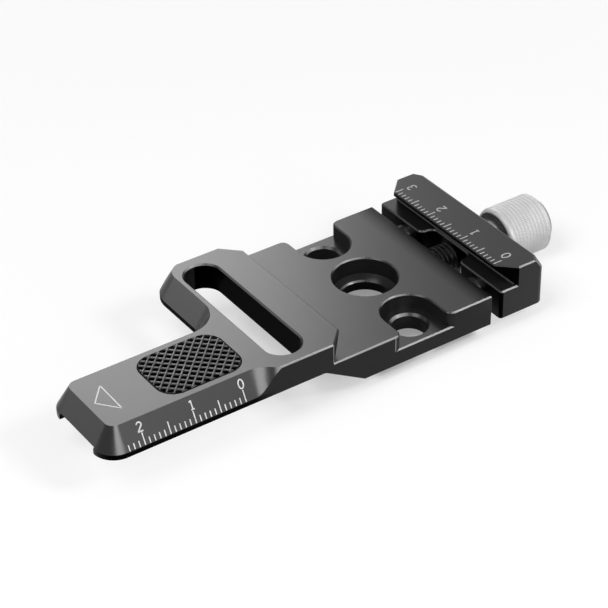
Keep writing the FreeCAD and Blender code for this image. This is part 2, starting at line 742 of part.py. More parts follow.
def jaw_back_bevel(body):
    """The back of the jaw's top leans forward as the long bevel does, and its corners with it."""
    outline = sketch_on(body, "XY_Plane", "JawBackOutline", "jaw_top")
    turn = "half_width - jaw_back_round"
    beyond = "half_width + past"
    corner = "jaw_top_length - jaw_top_corner * (past + jaw_back_round) / jaw_back_round"
    draw_loop(
        outline,
        (
            ("jaw_top_length", f"-({turn})"),
            (corner, f"-({beyond})"),
            ("jaw_length + past", f"-({beyond})"),
            ("jaw_length + past", beyond),
            (corner, beyond),
            ("jaw_top_length", turn),
        ),
    )
    drop = "(jaw_length - jaw_top_length) / tan(bevel_angle)"
    pocket(body, "JawBackBevel", outline, drop, taper="-bevel_angle")


def jaw_edges(body):
    """The jaw's fine chamfers."""
    top, foot_top = value("jaw_top"), value("jaw_foot_top")
    lip, corner = value("jaw_lip_setback"), value("jaw_lip_corner")
    chamfer(body, "JawTopRim", lambda point: near(point.z, top), "edge_break")

    def on_foot_rim(point):
        return near(point.z, foot_top) and point.x < lip + corner - SAME_PLACE

    chamfer(body, "JawFootRim", on_foot_rim, "edge_break")


def make_turned_piece(name, corners, start, across="0"):
    """A piece turned about the drive axis from a half profile, standing at start along the plate."""
    body = new_body(name)
    profile = sketch_on(body, "XZ_Plane", "HalfProfile")
    draw_loop(profile, corners)
    turned(body, "PartDesign::Revolution", "Turned", profile, "X_Axis")
    bind(body, "Placement.Base.x", start)
    bind(body, "Placement.Base.y", across)
    bind(body, "Placement.Base.z", "drive_height")
    return body


def rod_profile(length, size, end_break):
    """Half profile of a plain rod with a chamfer at both ends."""
    return (
        ("0", "0"),
        (length, "0"),
        (length, f"({size}) / 2 - {end_break}"),
        (f"{length} - {end_break}", f"({size}) / 2"),
        (end_break, f"({size}) / 2"),
        ("0", f"({size}) / 2 - {end_break}"),
    )


def make_clamp_screw():
    """The steel screw held in the knob, running in the plate's blind hole."""
    tip = "drive_hole_end + screw_tip_space"
    length = f"(washer_back + screw_in_knob - ({tip}))"
    return make_turned_piece("clamp_screw", rod_profile(length, "screw_size", "screw_break"), tip)


def make_guide_pin(name, across):
    """A steel pin pressed into the plate, on which the jaw slides."""
    length = "(pin_end - drive_hole_end)"
    return make_turned_piece(name, rod_profile(length, "pin_size", "pin_break"), "drive_hole_end", across)


def make_thrust_washer():
    """The flat washer between the jaw and the knob."""
    inner, outer = "screw_size / 2 + washer_bore_play", "washer_size / 2"
    corners = (("0", inner), ("washer_thickness", inner), ("washer_thickness", outer), ("0", outer))
    return make_turned_piece("thrust_washer", corners, "jaw_back")


def make_clamp_knob():
    """The turned knob: narrow neck, a cove that flares to the grip, a chamfered and dished end."""
    front = "knob_length - knob_grip_length"
    corners = (
        ("0", "screw_size / 2"),
        ("0", "knob_neck / 2"),
        (front, "knob_neck / 2", "knob_cove"),
        (front, "knob_size / 2 - knob_front_break"),
        (f"{front} + knob_front_break", "knob_size / 2"),
        ("knob_length - knob_end_break", "knob_size / 2"),
        ("knob_length", "knob_size / 2 - knob_end_break"),
        ("knob_length", "knob_dish_size / 2"),
        ("knob_length - knob_dish", "knob_dish_size / 2 - knob_dish"),
        ("knob_length - knob_dish", "0"),
        ("screw_in_knob", "0"),
        ("screw_in_knob", "screw_size / 2"),
    )
    return make_turned_piece("clamp_knob", corners, "washer_back")


def make_opening_spring():
    """The wire spring on the screw that pushes the jaw open; its wire is drawn with WIRE_FLATS flats."""
    body = new_body("opening_spring")
    wire = sketch_on(body, "XZ_Plane", "WireSection")
    axial, radial = "spring_end_gap + spring_wire / 2", "screw_size / 2 + spring_play + spring_wire / 2"
    corners = []
    for index in range(WIRE_FLATS):
        angle = 360 * (index + 0.5) / WIRE_FLATS
        offsets = (f"spring_wire / 2 * {function}({angle})" for function in ("cos", "sin"))
        corners.append([f"{middle} + {offset}" for middle, offset in zip((axial, radial), offsets)])
    draw_loop(wire, corners)
    coil = add_feature(body, "PartDesign::AdditiveHelix", "Coil", wire)
    coil.ReferenceAxis = (origin_item(body, "X_Axis"), [""])
    coil.Mode = "height-turns-angle"
    bind(coil, "Height", "jaw_gap + notch_depth - 2 * spring_end_gap - spring_wire")
    bind(coil, "Turns", "spring_turns")
    document.recompute()
    bind(body, "Placement.Base.x", "plate_end")
    bind(body, "Placement.Base.z", "drive_height")
    return body


def check_document():
    """Stop where any object of the document failed or any piece has no sound solid."""
    document.recompute()
    for item in document.Objects:
        if "Invalid" in item.State or "Error" in item.State:
            raise RuntimeError(f"{item.Label} failed: {item.State}")
    for piece in PIECES:
        if piece.Shape.isNull() or not piece.Shape.isValid() or piece.Shape.Volume <= 0:
            raise RuntimeError(f"{piece.Label} is not a sound solid")


PIECES = [
    make_base_plate(),
    make_grip_pad(),
    make_clamp_jaw(),
    make_guide_pin("guide_pin_near", "-pin_spacing / 2"),
    make_guide_pin("guide_pin_far", "pin_spacing / 2"),
    make_opening_spring(),
    make_clamp_screw(),
    make_thrust_washer(),
    make_clamp_knob(),
]
check_document()
os.makedirs("parts", exist_ok=True)
for piece in PIECES:
    piece.Shape.exportStep(os.path.join("parts", piece.Label + ".step"))
    box = piece.Shape.BoundBox
    print(f"{piece.Label}: {piece.Shape.Volume:.2f} mm3, solids {len(piece.Shape.Solids)}, "
          f"x {box.XMin:.2f} to {box.XMax:.2f}, y {box.YMin:.2f} to {box.YMax:.2f}, "
          f"z {box.ZMin:.2f} to {box.ZMax:.2f}")
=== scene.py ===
"""Looks of the camera support clamp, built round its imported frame.

Lengths are in metres in the frame's axes: +X runs along the plate towards the knob, +Y across it
and +Z up. The origin is on the large centre hole's axis, level with the plate's underside.
"""

import logging
import math
from collections.abc import Callable, Iterable
from dataclasses import dataclass
from enum import Enum
from functools import cache, reduce

import bmesh
import bpy
import numpy as np
from mathutils import Matrix, Vector

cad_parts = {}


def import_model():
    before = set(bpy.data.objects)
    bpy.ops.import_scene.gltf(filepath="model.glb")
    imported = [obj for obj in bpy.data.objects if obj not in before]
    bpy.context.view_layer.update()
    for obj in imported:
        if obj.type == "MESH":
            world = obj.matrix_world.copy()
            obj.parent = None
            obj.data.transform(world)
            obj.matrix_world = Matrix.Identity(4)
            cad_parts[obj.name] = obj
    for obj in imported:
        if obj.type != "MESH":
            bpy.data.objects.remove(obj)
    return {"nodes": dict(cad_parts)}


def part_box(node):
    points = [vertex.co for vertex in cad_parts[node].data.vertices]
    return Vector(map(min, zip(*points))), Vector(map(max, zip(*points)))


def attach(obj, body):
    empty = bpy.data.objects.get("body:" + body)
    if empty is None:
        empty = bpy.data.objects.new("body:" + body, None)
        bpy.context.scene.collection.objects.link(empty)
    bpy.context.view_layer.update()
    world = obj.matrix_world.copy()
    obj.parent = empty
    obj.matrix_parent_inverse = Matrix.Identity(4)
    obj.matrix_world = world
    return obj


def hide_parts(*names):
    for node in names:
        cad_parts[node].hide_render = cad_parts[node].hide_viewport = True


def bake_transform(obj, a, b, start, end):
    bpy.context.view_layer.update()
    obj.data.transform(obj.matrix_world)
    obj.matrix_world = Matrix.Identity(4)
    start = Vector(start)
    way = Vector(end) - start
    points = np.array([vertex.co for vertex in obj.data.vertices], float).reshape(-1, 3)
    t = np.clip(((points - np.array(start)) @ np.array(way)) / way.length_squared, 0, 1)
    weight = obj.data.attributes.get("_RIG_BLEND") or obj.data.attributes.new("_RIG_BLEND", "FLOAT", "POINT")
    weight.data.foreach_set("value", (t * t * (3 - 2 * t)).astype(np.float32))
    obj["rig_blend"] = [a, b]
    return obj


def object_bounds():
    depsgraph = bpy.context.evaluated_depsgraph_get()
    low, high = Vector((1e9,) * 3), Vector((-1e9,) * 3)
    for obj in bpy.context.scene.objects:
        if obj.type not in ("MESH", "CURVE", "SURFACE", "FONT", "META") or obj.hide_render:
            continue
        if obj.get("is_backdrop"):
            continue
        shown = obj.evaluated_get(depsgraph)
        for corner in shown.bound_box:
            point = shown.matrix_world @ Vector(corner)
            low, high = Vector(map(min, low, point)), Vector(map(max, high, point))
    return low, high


LOG = logging.getLogger("camera_support_clamp")
MM = 0.001
FULL_TURN = 2 * math.pi
SAME_PLACE = 0.005 * MM
WELD_REACH = 0.0005 * MM
TINY = 1e-12
ROUND_STEPS = 8
ARC_POINTS = 17
LONG_TICK_EVERY = 5
WHITE = (1.0, 1.0, 1.0)
FINE_NOISE = {"Detail": 2.0, "Roughness": 0.6}
WIDE_NOISE = {"Detail": 4.0}
WIDE_SHARE = 0.03

Piece = bpy.types.Object
Material = bpy.types.Material
Socket = bpy.types.NodeSocket
Value = Socket | float
Colour = tuple[float, float, float]
Pair = tuple[float, float]
Array = np.ndarray
Relief = Callable[[Array, Array, Array], Array]


class Body(Enum):
    """The bodies of the frame that pieces ride on."""

    PLATE = "plate"
    JAW = "jaw"
    KNOB = "knob"


class Slot(Enum):
    """The names of the material slots."""

    ANODISED = "black_anodised"
    RUBBER = "grip_rubber"
    STEEL = "bright_steel"
    SPRING = "spring_steel"
    SILVER = "silver_knob"


def node_box(node: str) -> tuple[Array, Array]:
    """The lowest and highest corner of a CAD node."""
    low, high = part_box(node)
    return np.array(low), np.array(high)


def axis_centre(node: str) -> Array:
    """The point at x = 0 on a CAD node's axis along X, from the middle of its box."""
    low, high = node_box(node)
    return np.array([0, (low[1] + high[1]) / 2, (low[2] + high[2]) / 2])


def signed_volume(points: Array, faces: Array) -> float:
    """Six times the volume that faces add to a closed mesh, by fans from their first corners."""
    corners = points[faces]
    return float(np.einsum("fi,fsi->", corners[:, 0], np.cross(corners[:, 1:-1], corners[:, 2:])))


def make_object(name: str, points: Array, face_sets: list[Array]) -> Piece:
    """A smooth mesh whose faces are turned outwards as a whole.

    Args:
        name: name of the piece.
        points: vertices, one row each.
        face_sets: arrays of faces, each array with one number of corners.

    Returns:
        The piece, at the origin and in the scene.
    """
    if sum(signed_volume(points, faces) for faces in face_sets) < 0:
        face_sets = [faces[:, ::-1] for faces in face_sets]
    mesh = bpy.data.meshes.new(name)
    mesh.vertices.add(len(points))
    mesh.vertices.foreach_set("co", np.ascontiguousarray(points, np.float32).ravel())
    corners = np.concatenate([faces.ravel() for faces in face_sets]).astype(np.int32)
    sizes = np.concatenate([np.full(len(faces), faces.shape[1]) for faces in face_sets])
    mesh.loops.add(len(corners))
    mesh.loops.foreach_set("vertex_index", corners)
    mesh.polygons.add(len(sizes))
    mesh.polygons.foreach_set("loop_start", (np.cumsum(sizes) - sizes).astype(np.int32))
    mesh.update(calc_edges=True)
    mesh.shade_smooth()
    piece = bpy.data.objects.new(name, mesh)
    bpy.context.scene.collection.objects.link(piece)
    return piece


def ringed_object(name: str, rings: Array, poles: Array) -> Piece:
    """A closed surface through a stack of rings, with a fan to a pole at each end.

    Vertex r * around + a is point a of ring r, and the two poles follow the last ring.

    Args:
        name: name of the piece.
        rings: points by ring and by place in the ring.
        poles: the first and the last pole, one row each.

    Returns:
        The piece.
    """
    count, around = rings.shape[:2]
    ring = np.arange(count - 1)[:, None] * around
    here = np.arange(around)
    there = (here + 1) % around
    quads = np.stack([ring + here, ring + there, ring + around + there, ring + around + here], -1)
    end = (count - 1) * around
    start_fan = np.stack([np.full(around, count * around), there, here], -1)
    end_fan = np.stack([np.full(around, count * around + 1), end + here, end + there], -1)
    faces = [quads.reshape(-1, 4), np.concatenate([start_fan, end_fan])]
    return make_object(name, np.concatenate([rings.reshape(-1, 3), poles]), faces)


def turned_surface(name: str, node: str, profile: Array, around: int, relief: Relief) -> Piece:
    """A profile carried round the axis of a CAD node.

    Each point (x, r) of the profile becomes a ring at x whose radius is r less the relief. The
    first and the last ring close on the axis.

    Args:
        name: name of the piece.
        node: the node's name.
        profile: rows of (x, r).
        around: points in each ring.
        relief: gives the depth below r for arrays of x, r and angle.

    Returns:
        The piece.
    """
    angle = full_circle(around)
    x, radius = np.broadcast_arrays(profile[:, 0, None], profile[:, 1, None] + 0 * angle)
    radius = radius - relief(x, radius, angle[None, :])
    rings = np.stack([x, radius * np.cos(angle), radius * np.sin(angle)], -1)
    poles = np.array([[profile[0, 0], 0, 0], [profile[-1, 0], 0, 0]])
    centre = axis_centre(node)
    return ringed_object(name, rings + centre, poles + centre)


def drawn_profile(corners: list[tuple[float, ...]]) -> Array:
    """A profile through corners (x, r), where (x, r, radius) is rounded by an arc of that radius.

    The arc touches both straight runs at radius / tan(half the corner's angle) from the corner, and
    its points are spread evenly over the angle that it turns.

    Args:
        corners: the corners in order.

    Returns:
        The points of the profile, one row each.
    """
    rows = [np.array([corners[0][:2]], float)]
    for before, corner, after in zip(corners, corners[1:], corners[2:]):
        here = np.array(corner[:2], float)
        if len(corner) == 2:
            rows.append(here[None])
            continue
        back, onward = np.array(before[:2]) - here, np.array(after[:2]) - here
        back, onward = back / np.linalg.norm(back), onward / np.linalg.norm(onward)
        half = math.acos(np.clip(back @ onward, -1, 1)) / 2
        inward = (back + onward) / np.linalg.norm(back + onward)
        centre = here + inward * corner[2] / math.sin(half)
        touch = corner[2] / math.tan(half)
        start, stop = here + back * touch, here + onward * touch
        first, last = (math.atan2(*(point - centre)[::-1]) for point in (start, stop))
        turn = (last - first + math.pi) % FULL_TURN - math.pi
        angles = first + turn * np.linspace(0, 1, ROUND_STEPS + 1)
        rows.append(centre + corner[2] * np.stack([np.cos(angles), np.sin(angles)], -1))
    rows.append(np.array([corners[-1][:2]], float))
    return np.concatenate(rows)


def full_circle(count: int) -> Array:
    """Angles spread evenly over a full turn."""
    return np.arange(count) / count * FULL_TURN


def triangle_wave(phase: Array) -> Array:
    """A wave that rises evenly from 0 at whole phases to 1 halfway between them."""
    return 1 - np.abs(2 * (phase % 1) - 1)


def smooth_step(value: Array, low: float, high: float) -> Array:
    """0 below low, 1 above high and 3t² − 2t³ between them."""
    share = np.clip((value - low) / (high - low), 0, 1)
    return share * share * (3 - 2 * share)


def grey(level: float) -> Colour:
    """A neutral colour."""
    return (level, level, level)


def opaque(colour: Iterable[float], share: float = 1.0) -> tuple[float, ...]:
    """A share of a colour, with full alpha."""
    return tuple(share * part for part in colour) + (1.0,)


class NodeSet:
    """The nodes of one material, world or group, with short ways to add and join them."""

    def __init__(self, tree: bpy.types.NodeTree) -> None:
        """Keep the tree that nodes are added to, emptied."""
        self.tree = tree
        tree.nodes.clear()

    def add(self, kind: str, settings: dict | None = None, **inputs: object) -> bpy.types.Node:
        """One node with its settings, its plain input values and its links.

        Args:
            kind: Blender's name of the node type.
            settings: properties of the node.
            **inputs: values or sockets by input name with underscores for spaces, or by _number.

        Returns:
            The node.
        """
        node = self.tree.nodes.new(kind)
        for key, setting in (settings or {}).items():
            setattr(node, key, setting)
        for key, given in inputs.items():
            socket = node.inputs[int(key[1:]) if key[0] == "_" else key.replace("_", " ")]
            if isinstance(given, Socket):
                self.tree.links.new(given, socket)
            else:
                socket.default_value = given
        return node

    def maths(self, operation: str, *values: Value) -> Socket:
        """The result of a Math node on two or three values or sockets."""
        numbered = {f"_{number}": value for number, value in enumerate(values)}
        return self.add("ShaderNodeMath", {"operation": operation}, **numbered).outputs[0]

    def fold(self, operation: str, *values: Value) -> Socket:
        """A two-value operation carried over all the values in turn."""
        return reduce(lambda made, value: self.maths(operation, made, value), values)

    def mix(self, share: Socket, first: object, second: object) -> Socket:
        """A colour between two colours by a share from 0 to 1."""
        node = self.add("ShaderNodeMix", {"data_type": "RGBA"}, _0=share, _6=first, _7=second)
        return node.outputs[2]

    def remap(
        self, value: Socket, low: float, high: float, to_low: float = 0.0, to_high: float = 1.0
    ) -> Socket:
        """A value carried in a straight line from one range to another, and held at its ends."""
        ends = {"_1": low, "_2": high, "_3": to_low, "_4": to_high}
        return self.add("ShaderNodeMapRange", _0=value, **ends).outputs[0]

    def attribute(self, name: str) -> Socket:
        """The share that a face attribute holds."""
        return self.add("ShaderNodeAttribute", {"attribute_name": name}).outputs["Fac"]

    def axes(self, place: Socket) -> list[Socket]:
        """The x, y and z of a place."""
        return self.add("ShaderNodeSeparateXYZ", Vector=place).outputs[:3]

    def length(self, vector: Socket) -> Socket:
        """The length of a vector."""
        return self.add("ShaderNodeVectorMath", {"operation": "LENGTH"}, _0=vector).outputs["Value"]


@cache
def blasted_grain() -> bpy.types.ShaderNodeTree:
    """The shader group of a fine blasted grain, made when it is first asked for.

    From Vector and Grains (grains in a metre) come Height, a fine noise, and Mottle, a wide one.

    Returns:
        The group.
    """
    tree = bpy.data.node_groups.new("blasted_grain", "ShaderNodeTree")
    tree.interface.new_socket("Vector", in_out="INPUT", socket_type="NodeSocketVector")
    tree.interface.new_socket("Grains", in_out="INPUT", socket_type="NodeSocketFloat")
    for name in ("Height", "Mottle"):
        tree.interface.new_socket(name, in_out="OUTPUT", socket_type="NodeSocketFloat")
    nodes = NodeSet(tree)
    vector, grains = nodes.add("NodeGroupInput").outputs[:2]
    wide_scale = nodes.maths("MULTIPLY", grains, WIDE_SHARE)
    fine = nodes.add("ShaderNodeTexNoise", Vector=vector, Scale=grains, **FINE_NOISE)
    wide = nodes.add("ShaderNodeTexNoise", Vector=vector, Scale=wide_scale, **WIDE_NOISE)
    nodes.add("NodeGroupOutput", Height=fine.outputs[0], Mottle=wide.outputs[0])
    return tree


@dataclass(frozen=True)
class Ground:
    """What a finish is made from: its nodes, the object coordinates and the grain's two outputs."""

    nodes: NodeSet
    place: Socket
    height: Socket
    mottle: Socket


@dataclass(frozen=True)
class Finish:
    """One surface finish as a Principled material with a grain group."""

    name: str
    colour: Colour
    metallic: float = 0.0
    roughness: float = 0.4
    roughness_spread: float = 0.05
    specular: float = 0.5
    grains: float = 9000.0
    grain_height: float = 0.02 * MM
    grain_strength: float = 0.3
    mottle: float = 0.06
    mottle_range: Pair = (0.3, 0.7)

    def build(self) -> Material:
        """Make the material.

        Returns:
            The material.
        """
        material = bpy.data.materials.new(self.name)
        material.use_nodes = True
        nodes = NodeSet(material.node_tree)
        place = nodes.add("ShaderNodeTexCoord").outputs["Object"]
        group = {"node_tree": blasted_grain()}
        texture = nodes.add("ShaderNodeGroup", group, Vector=place, Grains=self.grains)
        ground = Ground(nodes, place, texture.outputs["Height"], texture.outputs["Mottle"])
        bump = nodes.add("ShaderNodeBump", Strength=self.grain_strength, Height=ground.height)
        bump.inputs["Distance"].default_value = self.grain_height
        shared = {"Specular_IOR_Level": self.specular, "Normal": bump.outputs[0]}
        shader = nodes.add("ShaderNodeBsdfPrincipled", **shared, **self.surface(ground))
        nodes.add("ShaderNodeOutputMaterial", Surface=shader.outputs[0])
        return material

    def surface(self, ground: Ground) -> dict[str, Value]:
        """The shader's base colour, roughness and metallic share.

        Args:
            ground: what the finish is made from.

        Returns:
            A socket or a plain value by input name.
        """
        low, high = self.roughness - self.roughness_spread, self.roughness + self.roughness_spread
        return {
            "Base_Color": self.detailed(ground),
            "Roughness": ground.nodes.remap(ground.mottle, *self.mottle_range, low, high),
            "Metallic": self.metallic,
        }

    def detailed(self, ground: Ground) -> Socket:
        """The colour with its slow mottle."""
        shades = (opaque(self.colour, 1 + way * self.mottle) for way in (-1, 1))
        return ground.nodes.mix(ground.nodes.remap(ground.mottle, *self.mottle_range), *shades)


@dataclass(frozen=True)
class PaintedShadeFinish(Finish):
    """A finish with painted shade: places blackened, where metal over black mirrors at grazing angles only.
    """

    def surface(self, ground: Ground) -> dict[str, Value]:
        """The shader's inputs, with the painted shade's share as the metallic share over black."""
        given = super().surface(ground) | {"Metallic": self.painted_shade_share(ground)}
        black = ground.nodes.mix(given["Metallic"], given["Base_Color"], opaque(grey(0.0)))
        return given | {"Base_Color": black}

    def painted_shade_share(self, ground: Ground) -> Socket:
        """How deep the painted shade is at each place."""
        raise NotImplementedError


@dataclass(frozen=True)
class AnodisedFinish(PaintedShadeFinish):
    """Blasted aluminium with a black anodised skin, a painted highlight on its edge breaks and painted shade
    in its shaded places.
    """

    # Colour of the painted highlight on the edge breaks.
    edge_highlight_colour: Colour = (0.22, 0.22, 0.222)
    speckle: float = 0.2
    speck_heights: Pair = (0.55, 0.75)
    speck_gain: float = 2.2
    # Painted shade: the bed's end near the jaw, the rims under the bevels, the gap's walls and the centre
    # hole's seat are blackened.
    bed_fade: Pair = (10.8 * MM, 14.3 * MM)
    bed_stop: float = 16.0 * MM
    rim_fade: Pair = (5.83 * MM, 5.95 * MM)
    rim_end: Pair = (-36.5 * MM, -32.0 * MM)
    deepest_shade: float = 0.95
    seat_radius: float = 6.05 * MM
    seat_top: float = 2.72 * MM
    seat_share: float = 0.5

    def painted_shade_share(self, ground: Ground) -> Socket:
        """Painted shade in the gap, on the bed's end, under the bevels and in the centre hole.

        Args:
            ground: what the finish is made from.

        Returns:
            The share.
        """
        nodes = ground.nodes
        x, y, z = nodes.axes(ground.place)
        near_jaw = nodes.remap(x, *self.bed_fade)
        on_plate = nodes.maths("LESS_THAN", x, self.bed_stop)
        bed_end = nodes.fold("MULTIPLY", near_jaw, on_plate, nodes.attribute("flat_top"))
        low = nodes.remap(z, *self.rim_fade, 1.0, 0.0)
        rim = nodes.maths("MULTIPLY", low, nodes.remap(x, *self.rim_end, 1.0, 0.0))
        dark = nodes.fold("MAXIMUM", bed_end, rim, nodes.attribute("gap_wall"))
        off_axis = nodes.length(nodes.add("ShaderNodeCombineXYZ", _0=x, _1=y).outputs[0])
        in_hole = nodes.maths("LESS_THAN", off_axis, self.seat_radius)
        in_seat = nodes.maths("LESS_THAN", z, self.seat_top)
        seat = nodes.fold("MULTIPLY", in_seat, in_hole, self.seat_share)
        return nodes.maths("MAXIMUM", nodes.maths("MULTIPLY", dark, self.deepest_shade), seat)

    def detailed(self, ground: Ground) -> Socket:
        """The colour with pale specks, and a painted highlight on the marked edge breaks.

        Args:
            ground: what the finish is made from.

        Returns:
            The colour.
        """
        nodes = ground.nodes
        speck = nodes.remap(ground.height, *self.speck_heights, 0.0, self.speckle)
        speckled = nodes.mix(speck, super().detailed(ground), opaque(self.colour, self.speck_gain))
        return nodes.mix(nodes.attribute("painted_edge_highlight"), speckled, opaque(self.edge_highlight_colour))


@dataclass(frozen=True)
class RubberFinish(PaintedShadeFinish):
    """Dull black rubber, with painted shade in its pits."""

    # Painted shade in the pits, below the ridges' tops.
    pit_heights: Pair = (10.28 * MM, 10.42 * MM)
    pit_shade: float = 0.9

    def painted_shade_share(self, ground: Ground) -> Socket:
        """Painted shade below the ridges' tops."""
        height = ground.nodes.axes(ground.place)[2]
        return ground.nodes.remap(height, *self.pit_heights, self.pit_shade, 0.0)


@dataclass(frozen=True)
class SilverFinish(Finish):
    """Satin silver on the knob's grip, with a painted dark reflection as its end line, and darker gloss with
    painted shade on its neck.
    """

    # The neck's darker colour is painted shade, and the end line is a painted dark reflection.
    neck_end: Pair = (30.24 * MM, 30.36 * MM)
    neck_metallic: float = 0.9
    neck_roughness: float = 0.25
    neck_painted_shade: float = 0.26
    end_line: Pair = (40.15 * MM, 40.30 * MM)
    end_painted_reflection: float = 0.12

    def surface(self, ground: Ground) -> dict[str, Value]:
        """The shader's inputs, with the end line's painted dark reflection and the neck's painted shade and
        gloss.

        Args:
            ground: what the finish is made from.

        Returns:
            A socket by input name.
        """
        nodes = ground.nodes
        x = nodes.axes(ground.place)[0]
        end, neck = opaque(grey(self.end_painted_reflection)), opaque(grey(self.neck_painted_shade))
        grip = nodes.mix(nodes.remap(x, *self.end_line), self.detailed(ground), end)
        return {
            "Base_Color": nodes.mix(nodes.remap(x, *self.neck_end, 1.0, 0.0), grip, neck),
            "Roughness": nodes.remap(x, *self.neck_end, self.neck_roughness, self.roughness),
            "Metallic": nodes.remap(x, *self.neck_end, self.neck_metallic, self.metallic),
        }


STEEL_GRAIN = {"grains": 5000.0, "grain_strength": 0.05}
PRINT_GRAIN = {"grains": 8000.0, "grain_strength": 0.1, "roughness": 0.6}


class Look(Enum):
    """The finishes of the pieces."""

    ANODISED = AnodisedFinish(
        "black_anodised", (0.009, 0.009, 0.0095), roughness=0.28, roughness_spread=0.005,
        specular=0.25, grain_strength=0.15, mottle=0.0,
    )
    RUBBER = RubberFinish("grip_rubber", grey(0.008), roughness=0.42, specular=0.4, grains=6000.0)
    # Painted shade: the steel colours are darkened, darkest for the spring and the screw in the shaded gap
    # between plate and jaw.
    STEEL = Finish("bright_steel", grey(0.15), metallic=1.0, roughness=0.3, **STEEL_GRAIN)
    SPRING = Finish("spring_steel", grey(0.004), roughness=0.45, specular=0.14, **STEEL_GRAIN)
    SHADED_STEEL = Finish("steel_painted_shade", grey(0.02), metallic=1.0, roughness=0.4, **STEEL_GRAIN)
    SILVER = SilverFinish(
        "silver_knob", grey(0.46), metallic=0.1, roughness=0.45, specular=0.3, grains=7000.0,
        grain_strength=0.1,
    )
    MARKING = Finish("white_marking", grey(0.58), **PRINT_GRAIN)
    JAW_MARKING = Finish("grey_marking", grey(0.36), **PRINT_GRAIN)


@cache
def material_of(look: Look) -> Material:
    """The one material of a look, made when it is first asked for."""
    return look.value.build()


def dress(piece: Piece, look: Look) -> None:
    """Give a piece its only material.

    Args:
        piece: the piece or CAD node.
        look: its finish.
    """
    piece.data.materials.clear()
    piece.data.materials.append(material_of(look))
    LOG.info("%s: %d faces", piece.name, len(piece.data.polygons))


def weld(piece: Piece) -> None:
    """Merge the doubled corners of a piece, and leave it selected.

    Args:
        piece: the piece, whose mesh is changed.
    """
    bpy.context.view_layer.objects.active = piece
    bpy.ops.object.select_all(action="DESELECT")
    piece.select_set(True)
    bpy.ops.object.mode_set(mode="EDIT")
    bpy.ops.mesh.select_all(action="SELECT")
    bpy.ops.mesh.remove_doubles(threshold=WELD_REACH)
    bpy.ops.object.mode_set(mode="OBJECT")
    if piece.data.has_custom_normals:
        bpy.ops.mesh.customdata_custom_splitnormals_clear()


@dataclass
class MachinedBody:
    """A milled piece shown as a merged copy of its CAD solid, with its edge breaks marked.

    Each row of uprights holds the x limits of an upright edge that is broken and given a painted highlight,
    and the height it stands above.
    Walls that face the plate are the gap's up to gap_end.
    """

    node: str
    piece_name: str
    body: Body
    gap_end: float = 0.0
    uprights: tuple[tuple[float, float, float], ...] = ()
    smooth_angle: float = math.radians(22)
    break_lean: Pair = (0.68, 0.74)
    break_facing: Pair = (0.52, 0.68)
    level: float = 0.999
    upright_slack: float = 0.001
    upright_width: float = 0.11 * MM
    # Share of painted highlight on the broken upright edges.
    upright_highlight: float = 0.9
    corner_place: Pair = (14.8 * MM, 15.2 * MM)
    corner_facing: float = 0.68
    # Share of painted highlight on the end corner's upright break.
    corner_highlight: float = 0.5

    def build(self, nodes: dict[str, Piece]) -> None:
        """Copy the node, merge its corners, mark its edge breaks and smooth its rounds.

        Args:
            nodes: the frame's CAD nodes.
        """
        mesh = nodes[self.node].data.copy()
        mesh.name = self.piece_name
        piece = bpy.data.objects.new(self.piece_name, mesh)
        bpy.context.scene.collection.objects.link(piece)
        weld(piece)
        self.mark_breaks(mesh)
        self.break_uprights(mesh)
        bpy.ops.object.shade_smooth_by_angle(angle=self.smooth_angle)
        piece.select_set(False)
        dress(piece, Look.ANODISED)
        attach(piece, self.body.value)
        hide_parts(self.node)

    def mark_breaks(self, mesh: bpy.types.Mesh) -> None:
        """Mark edge breaks for a painted highlight, level faces with flat_top and the gap's with gap_wall.

        A break is a face that leans 45 degrees upwards. Its painted highlight is brightest where it faces
        the near side and less the further it turns away. The upright break at the end corner gets a painted
        highlight too.

        Args:
            mesh: the merged mesh.
        """
        rows = np.zeros((2, len(mesh.polygons) * 3), np.float32)
        mesh.polygons.foreach_get("normal", rows[0])
        mesh.polygons.foreach_get("center", rows[1])
        (forward, aside, lean), (place, _, _) = (row.reshape(-1, 3).T for row in rows)
        broken = (lean > self.break_lean[0]) & (lean < self.break_lean[1])
        corner = (forward > self.corner_facing) & (aside < -self.corner_facing)
        corner &= (place > self.corner_place[0]) & (place < self.corner_place[1])
        near = smooth_step(-aside, *self.break_facing)
        steep = np.abs(lean) < self.upright_slack
        marks = {
            "painted_edge_highlight": broken * near + corner * self.corner_highlight,
            "flat_top": lean > self.level,
            "gap_wall": steep & (forward < 0) & (place < self.gap_end),
        }
        for name, marked in marks.items():
            attribute = mesh.attributes.new(name, "FLOAT", "FACE")
            attribute.data.foreach_set("value", marked.astype(np.float32))

    def break_uprights(self, mesh: bpy.types.Mesh) -> None:
        """Break the near side's chosen upright edges, and mark the breaks for a painted highlight.

        Args:
            mesh: the merged and marked mesh.
        """
        work = bmesh.new()
        work.from_mesh(mesh)
        side = min(vertex.co.y for vertex in work.verts)
        chosen = []
        for edge in work.edges:
            x, y, z = zip(*(vertex.co for vertex in edge.verts))
            if max(y) > side + SAME_PLACE or max(z) - min(z) < SAME_PLACE:
                continue
            for low, high, floor in self.uprights:
                if low < min(x) and max(x) < high and min(z) > floor:
                    chosen.append(edge)
        made = bmesh.ops.bevel(
            work, geom=chosen, offset=self.upright_width, segments=1, profile=0.5, affect="EDGES"
        )
        marks = work.faces.layers.float["painted_edge_highlight"]
        for face in made["faces"]:
            face[marks] = self.upright_highlight
        work.to_mesh(mesh)
        work.free()


# The plate's upright edges with a painted highlight are the fixed lip's corner and the pocket's mouth.
BASE_PLATE = MachinedBody(
    "base_plate",
    "base_plate_machined",
    Body.PLATE,
    uprights=((-20.1 * MM, -20.0 * MM, 6.15 * MM), (-6.75 * MM, -6.65 * MM, 3.15 * MM)),
)
CLAMP_JAW = MachinedBody("clamp_jaw", "clamp_jaw_machined", Body.JAW, gap_end=21.0 * MM)


